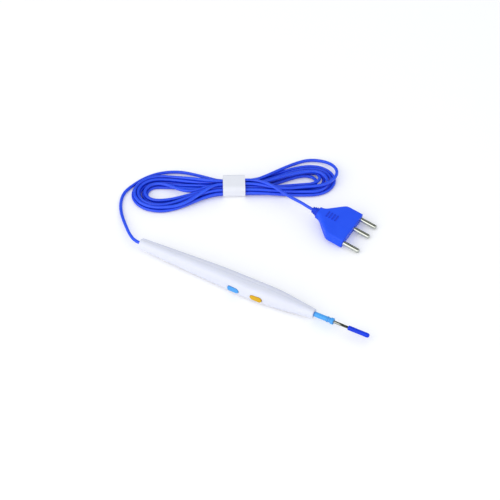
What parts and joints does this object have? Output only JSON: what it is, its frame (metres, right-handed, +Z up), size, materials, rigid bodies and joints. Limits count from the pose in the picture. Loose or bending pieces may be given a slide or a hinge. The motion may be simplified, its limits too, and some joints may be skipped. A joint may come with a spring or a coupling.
{
  "type": "electrosurgical pencil",
  "caption": "Hand-switched electrosurgical pencil with cut and coagulate buttons, guarded blade electrode, banded cord hank and an in-line pin plug.",
  "frame": {"origin": "on the floor under the middle of the pencil, from the handle's rear face to the guard's end", "axes": "+X along the pencil from the cord end to the blade, -Y the way the buttons face, +Z up"},
  "size_m": [0.2629, 0.1751, 0.015],
  "materials": {
    "handle_white": "satin",
    "coag_blue": "satin",
    "cut_yellow": "satin",
    "sleeve_blue": "gloss",
    "guard_blue": "satin",
    "steel": "brushed",
    "brass": "satin",
    "board": "matte",
    "jacket_blue": "satin",
    "plug_blue": "satin",
    "pin_nickel": "polished",
    "paper": "matte"
  },
  "bodies": {
    "pencil": {"button_shell": "handle_white", "back_shell": "handle_white", "switch_board": "board", "coag_dome": "steel", "cut_dome": "steel", "electrode_socket": "brass", "cord_grip": "brass", "cord_inner_end": "jacket_blue", "wire_active": "jacket_blue", "wire_cut": "jacket_blue", "wire_coag": "jacket_blue", "cord_pencil_lead": "jacket_blue", "cord_hank": "jacket_blue", "cord_plug_lead": "jacket_blue", "tie_band": "paper", "plug_body": "plug_blue", "plug_pin_far": "pin_nickel", "plug_pin_middle": "pin_nickel", "plug_pin_near": "pin_nickel"},
    "coag_key": {"coag_button": "coag_blue"},
    "cut_key": {"cut_button": "cut_yellow"},
    "electrode_set": {"electrode": "steel", "electrode_sleeve": "sleeve_blue"},
    "guard": {"tip_guard": "guard_blue"}
  },
  "joints": [
    {"name": "coag_press", "type": "slide", "parent": "pencil", "child": "coag_key", "axis": [0, 1, 0], "range_m": [0, 0.0006], "stiffness_N_per_m": 3000},
    {"name": "cut_press", "type": "slide", "parent": "pencil", "child": "cut_key", "axis": [0, 1, 0], "range_m": [0, 0.0006], "stiffness_N_per_m": 3000},
    {"name": "electrode_pull", "type": "slide", "parent": "pencil", "child": "electrode_set", "axis": [1, 0, 0], "range_m": [0, 0.02]},
    {"name": "guard_pull", "type": "slide", "parent": "electrode_set", "child": "guard", "axis": [1, 0, 0], "range_m": [0, 0.02]}
  ]
}
